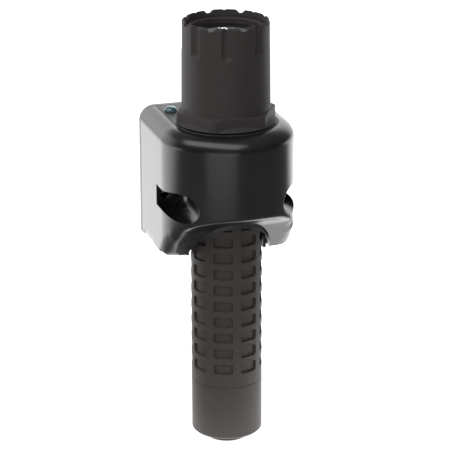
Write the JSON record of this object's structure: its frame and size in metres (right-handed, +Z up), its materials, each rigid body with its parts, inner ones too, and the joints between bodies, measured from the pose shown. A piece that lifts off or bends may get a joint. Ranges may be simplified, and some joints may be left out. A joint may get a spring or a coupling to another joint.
{
  "type": "firefighter flashlight in charging cradle",
  "caption": "Upright ribbed-barrel hand lamp with a crenellated bezel and serrated tail button, standing in a round-fronted wall charging cradle.",
  "frame": {"origin": "on the wall face, midway between the cradle's two mounting screws", "axes": "+Z up along the lamp's axis, +Y into the wall, +X to the right seen from the front"},
  "size_m": [0.0564, 0.0622, 0.1838],
  "materials": {
    "board": "green circuit board",
    "brass": "plain brass",
    "button": "black moulded rubber",
    "clear": "clear moulded window",
    "contact": "bright nickel-plated brass",
    "grain": "grained black cover",
    "heat": "machined aluminium",
    "led": "emitter with a clear dome",
    "liner": "satin black",
    "mirror": "metallised reflector",
    "nylon": "black glass-filled nylon, fine grain",
    "plate": "matte black back plate",
    "seal": "black nitrile rubber",
    "shell": "semi-gloss black moulded shell",
    "steel": "zinc-plated or stainless steel",
    "teal": "tinted indicator diode",
    "white": "white metal-core board or carrier",
    "wrap": "shrink-wrapped steel can"
  },
  "bodies": {
    "cradle": {"cradle_housing": "shell", "cradle_liner": "liner", "top_cover": "grain", "back_plate": "plate", "back_plate_screws": "steel", "charger_board": "board", "board_spacers": "white", "contact_block": "liner", "pin_spring_lower": "steel", "pin_spring_upper": "steel", "dc_jack": "liner", "dc_jack_pin": "contact", "indicator_bezel": "liner", "indicator_lens": "clear", "indicator_led": "teal"},
    "pin_lower": {"charge_pin_lower": "contact"},
    "pin_upper": {"charge_pin_upper": "contact"},
    "lamp": {"head_housing": "nylon", "lens_retainer": "nylon", "lens": "clear", "lens_gasket": "seal", "reflector": "mirror", "led_board": "white", "led_emitter": "led", "heat_sink": "heat", "driver_board": "board", "head_seal": "seal", "barrel": "nylon", "charge_ring_lower": "contact", "charge_ring_upper": "contact", "tail_seal": "seal", "battery_tube": "white", "battery_cell": "wrap", "contact_carrier": "white", "front_contact": "brass", "front_spring": "steel", "control_board": "board"},
    "glide": {"cap_washer": "steel"},
    "tail": {"tail_cap": "nylon", "switch_housing": "liner", "tail_board": "board", "switch_retainer": "brass", "battery_spring": "steel", "button_spring": "steel"},
    "button": {"tail_button": "button", "switch_plunger": "white"}
  },
  "joints": [
    {"name": "lamp_lift", "type": "slide", "parent": "cradle", "child": "lamp", "axis": [0, 0, 1], "range_m": [0, 0.145]},
    {"name": "tail_cap_travel", "type": "slide", "parent": "lamp", "child": "glide", "axis": [0, 0, -1], "range_m": [0, 0.0122]},
    {"name": "tail_cap_turn", "type": "hinge", "parent": "glide", "child": "tail", "pos_m": [0, -0.034, -0.0822], "axis": [0, 0, -1], "range_deg": [0, 2880]},
    {"name": "tail_button_press", "type": "slide", "parent": "tail", "child": "button", "axis": [0, 0, 1], "range_m": [0, 0.0015], "stiffness_N_per_m": 1000, "springref_m": -0.001, "deforming": ["button_spring"]},
    {"name": "charge_pin_lower_press", "type": "slide", "parent": "cradle", "child": "pin_lower", "axis": [0, 1, 0], "range_m": [0, 0.001], "stiffness_N_per_m": 800, "springref_m": -0.0005, "deforming": ["pin_spring_lower"]},
    {"name": "charge_pin_upper_press", "type": "slide", "parent": "cradle", "child": "pin_upper", "axis": [0, 1, 0], "range_m": [0, 0.001], "stiffness_N_per_m": 800, "springref_m": -0.0005, "deforming": ["pin_spring_upper"]}
  ],
  "couplings": [
    {"joint": "tail_cap_travel", "follows": "tail_cap_turn", "m_per_rad": 0.00023873}
  ]
}
